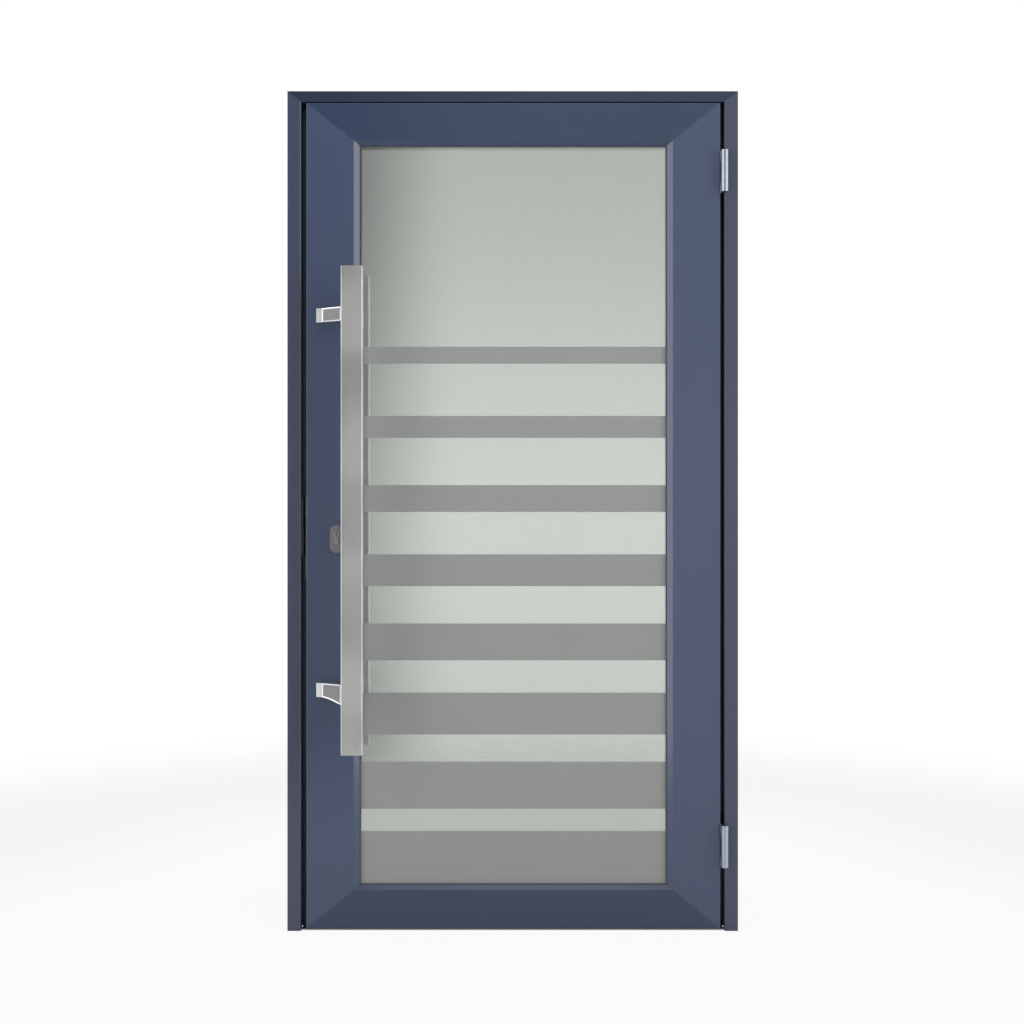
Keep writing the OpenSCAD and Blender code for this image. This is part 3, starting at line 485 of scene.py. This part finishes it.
WORKED = {
    # piece: (CAD node, body, edge radius, finish, material slot)
    "bolt_caps": ("pull_bolt_caps", "leaf", 0.0012, "turned", "brushed_steel"),
    "outer_escutcheon": ("rose_outer", "leaf", 0.0012, "rose", "brushed_steel"),
    "inner_escutcheon": ("rose_inner", "leaf", 0.0012, "rose", "brushed_steel"),
    "profile_cylinder": ("cylinder_body", "leaf", 0.0004, "nickel", "plated_steel"),
    "keyed_plug": ("key_plug", "key_plug", 0.0004, "nickel", "plated_steel"),
    "knob": ("thumb_turn", "thumb_turn", 0.0012, "turned", "brushed_steel"),
    "face_plate": ("faceplate", "leaf", 0.0005, "nickel", "brushed_steel"),
    "strike": ("strike_plate", "frame", 0.0005, "strike", "brushed_steel"),
    "upper_frame_hinge": ("hinge_frame_high", "frame", 0.0005, "anodised", "hinge_metal"),
    "lower_frame_hinge": ("hinge_frame_low", "frame", 0.0005, "anodised", "hinge_metal"),
    "upper_leaf_hinge": ("hinge_leaf_high", "leaf", 0.0005, "anodised", "hinge_metal"),
    "lower_leaf_hinge": ("hinge_leaf_low", "leaf", 0.0005, "anodised", "hinge_metal"),
    "inside_pull": ("inner_pull", "leaf", 0.0015, "pull", "brushed_steel"),
}
for name, (node, body, radius, finish, material_slot) in WORKED.items():
    mesh = cad_copy(node)
    bevel(mesh, corners(mesh), radius)
    piece(name, mesh, body, [node], [finish])

# ---- Screws ----

SCREWS = {
    # piece: (CAD node, body, way the heads face, head radius, material slot)
    "frame_hinge_screws": ("hinge_frame_screws", "frame", (-1, 0, 0), 0.0026, "plated_steel"),
    "leaf_hinge_screws": ("hinge_leaf_screws", "leaf", (1, 0, 0), 0.0026, "plated_steel"),
    "face_plate_screws": ("faceplate_screws", "leaf", (-1, 0, 0), 0.0026, "plated_steel"),
    "strike_fixings": ("strike_screws", "frame", (1, 0, 0), 0.0026, "plated_steel"),
    "escutcheon_screws": ("rose_screws", "leaf", (0, 1, 0), 0.002, "plated_steel"),
    "bar_fixings": ("bar_screws", "leaf", (0, 1, 0), 0.0046, "brushed_steel"),
}
RECESS_RIM = 0.42          # width of the flat round a recess and the recess's depth, as shares of the head
RECESS_SINK = 0.5
NEARLY_ROUND = 2.9         # a head's flat face covers at least this many squares on its radius

for name, (node, body, facing, head, material_slot) in SCREWS.items():
    mesh = cad_copy(node)
    mesh.normal_update()
    facing = Vector(facing)
    heads = [f for f in mesh.faces if f.normal.dot(facing) > 0.99
             and f.calc_area() > NEARLY_ROUND * head * head]
    for face in heads:
        drive_recess(mesh, face, head * RECESS_RIM, head * RECESS_SINK)
    piece(name, mesh, body, [node], ["nickel"])

# ---- Studio: pale floor, white surroundings, one dark screen to the left behind the camera ----

FLOOR_RADIUS = 6
FADE_START = 1.0           # distance from the door at which the floor begins to fade into the white
FADE_END = 3.2
FLOOR_WHITE = 0.9          # share of plain white in what the floor shows to the eye

# A direction's slope is its sideways or upward part over its part straight out from the door's face.
# Each row is (start, end, value at the start, value at the end).
OPEN_WALL = (-0.138, -0.033, 0.0, 1.0)
WALL_UPWARDS = (0.0, 0.3, 1.0, 0.62)
WALL_DOWNWARDS = (-0.3, -0.02, 0.72, 1.0)
SCREEN_UPWARDS = (-0.02, 0.25, 0.36, 0.08)
SCREEN_DOWNWARDS = (-0.22, -0.04, 0.4, 1.0)
WALL_SHADE = (0.16, 0.3, 0.0, 0.45)
LEFT_SIDE = (-1.1, -0.4, 1.0, 0.0)
RIGHT_SIDE = (0.5, 1.3, 0.0, 1.0)
STRIP_NEAR = (1.1, 1.5, 0.0, 1.0)
STRIP_FAR = (2.4, 3.4, 1.0, 0.0)
STRIP_TOP = (1.2, 3.0, 1.0, 0.0)
LEFT_STRIP = 1.8           # brightness of the upright strips at the sides, which light the glazing bevels
RIGHT_STRIP = 2.4
ROOM_BEHIND = 0.6          # brightness on the door's inner side
LEAST_AHEAD = 0.05         # keeps a slope finite

CAMERA_DISTANCE = 3.4
CAMERA_AIM = (-0.00175, 1.0475)   # sideways, and above the floor
CAMERA_WIDTH = 2.56        # width seen at the door's outside face


def eye_rays(graph):
    """1 where the camera looks straight at a surface, 0 in reflections and for light."""
    return Value(graph, graph.node("ShaderNodeLightPath").socket.node.outputs["Is Camera Ray"])


def studio_floor():
    """A pale round floor that fades out before its edge. It looks whiter than the light it throws back."""
    floor = bmesh.new()
    bmesh.ops.create_circle(floor, cap_ends=True, radius=FLOOR_RADIUS, segments=96)
    data = bpy.data.meshes.new("studio_floor")
    floor.to_mesh(data)
    floor.free()
    ground = bpy.data.objects.new("studio_floor", data)
    bpy.context.scene.collection.objects.link(ground)
    f = Finish("pale_floor", roughness=0.9)
    x, y, _ = f.parts(f.place())
    away = f.node("ShaderNodeMath", {"operation": "SQRT"}, {0: x * x + y * y})
    f.set(base_color=f.between((0.88, 0.88, 0.88, 1), (0.91, 0.91, 0.91, 1), f.noise(3.0)),
          alpha=f.smooth(away, FADE_START, FADE_END, 1.0, 0.0))
    white = f.tree.nodes.new("ShaderNodeEmission")
    both = f.tree.nodes.new("ShaderNodeMixShader")
    f.feed(both.inputs[0], eye_rays(f) * f.smooth(away, FADE_START, FADE_END, FLOOR_WHITE, 0.0))
    f.tree.links.new(f.surface.outputs[0], both.inputs[1])
    f.tree.links.new(white.outputs[0], both.inputs[2])
    f.tree.links.new(both.outputs[0], f.tree.nodes["Material Output"].inputs["Surface"])
    data.materials.append(f.material)


def surroundings():
    """White to the eye. In reflections: a bright wall ahead, a dark screen on its left, and pale sides."""
    world = bpy.data.worlds.new("studio")
    bpy.context.scene.world = world
    world.use_nodes = True
    g = Graph(world.node_tree)
    x, y, z = g.parts(g.node("ShaderNodeTexCoord", output="Generated"))
    ahead = g.node("ShaderNodeMath", {"operation": "MAXIMUM"}, {0: 0 - y, 1: LEAST_AHEAD})
    across = x / ahead
    rise = z / ahead
    wall = g.smooth(rise, *WALL_UPWARDS) * g.smooth(rise, *WALL_DOWNWARDS)
    screen_tone = g.smooth(rise, *SCREEN_UPWARDS) * g.smooth(rise, *SCREEN_DOWNWARDS)
    open_wall = g.smooth(across, *OPEN_WALL)
    facing = wall * open_wall + screen_tone * (1 - open_wall)
    facing = facing * (1 - g.smooth(across, *WALL_SHADE))
    sides = g.smooth(across, *LEFT_SIDE) + g.smooth(across, *RIGHT_SIDE)
    strips = 0.0
    for outward, brightness in ((0 - across, LEFT_STRIP), (across, RIGHT_STRIP)):
        strip = g.smooth(outward, *STRIP_NEAR) * g.smooth(outward, *STRIP_FAR)
        strips = strip * brightness + strips
    tone = facing * (1 - sides) + sides + strips * g.smooth(rise, *STRIP_TOP)
    behind = y > 0
    tone = tone * (1 - behind) + ROOM_BEHIND * behind
    seen = eye_rays(g)
    background = world.node_tree.nodes["Background"]
    g.feed(background.inputs["Strength"], seen + tone * (1 - seen))
    g.feed(background.inputs["Color"], (1, 1, 1, 1))


def softbox(name, place, aim, size, power):
    """A rectangular lamp that the camera doesn't see."""
    lamp = bpy.data.lights.new(name, "AREA")
    lamp.shape = "RECTANGLE"
    lamp.size, lamp.size_y = size
    lamp.energy = power
    holder = bpy.data.objects.new(name, lamp)
    holder.location = place
    holder.rotation_euler = (Vector(aim) - Vector(place)).to_track_quat("-Z", "Y").to_euler()
    holder.visible_camera = False
    bpy.context.scene.collection.objects.link(holder)


def camera():
    """A level camera in front of the outside face."""
    eye = bpy.data.cameras.new("eye")
    eye.sensor_width = 36
    eye.lens = eye.sensor_width * CAMERA_DISTANCE / CAMERA_WIDTH
    holder = bpy.data.objects.new("eye", eye)
    outside_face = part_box("stile_lock_outer")[0].y
    holder.location = (CAMERA_AIM[0], outside_face - CAMERA_DISTANCE, CAMERA_AIM[1])
    holder.rotation_euler = (math.radians(90), 0, 0)
    bpy.context.scene.collection.objects.link(holder)
    bpy.context.scene.camera = holder


studio_floor()
surroundings()
softbox("overhead_softbox", place=(0.3, -1.6, 3.8), aim=(0, 0, 1.1), size=(2.4, 1.0), power=12)
camera()
bpy.context.scene.view_settings.view_transform = "Standard"
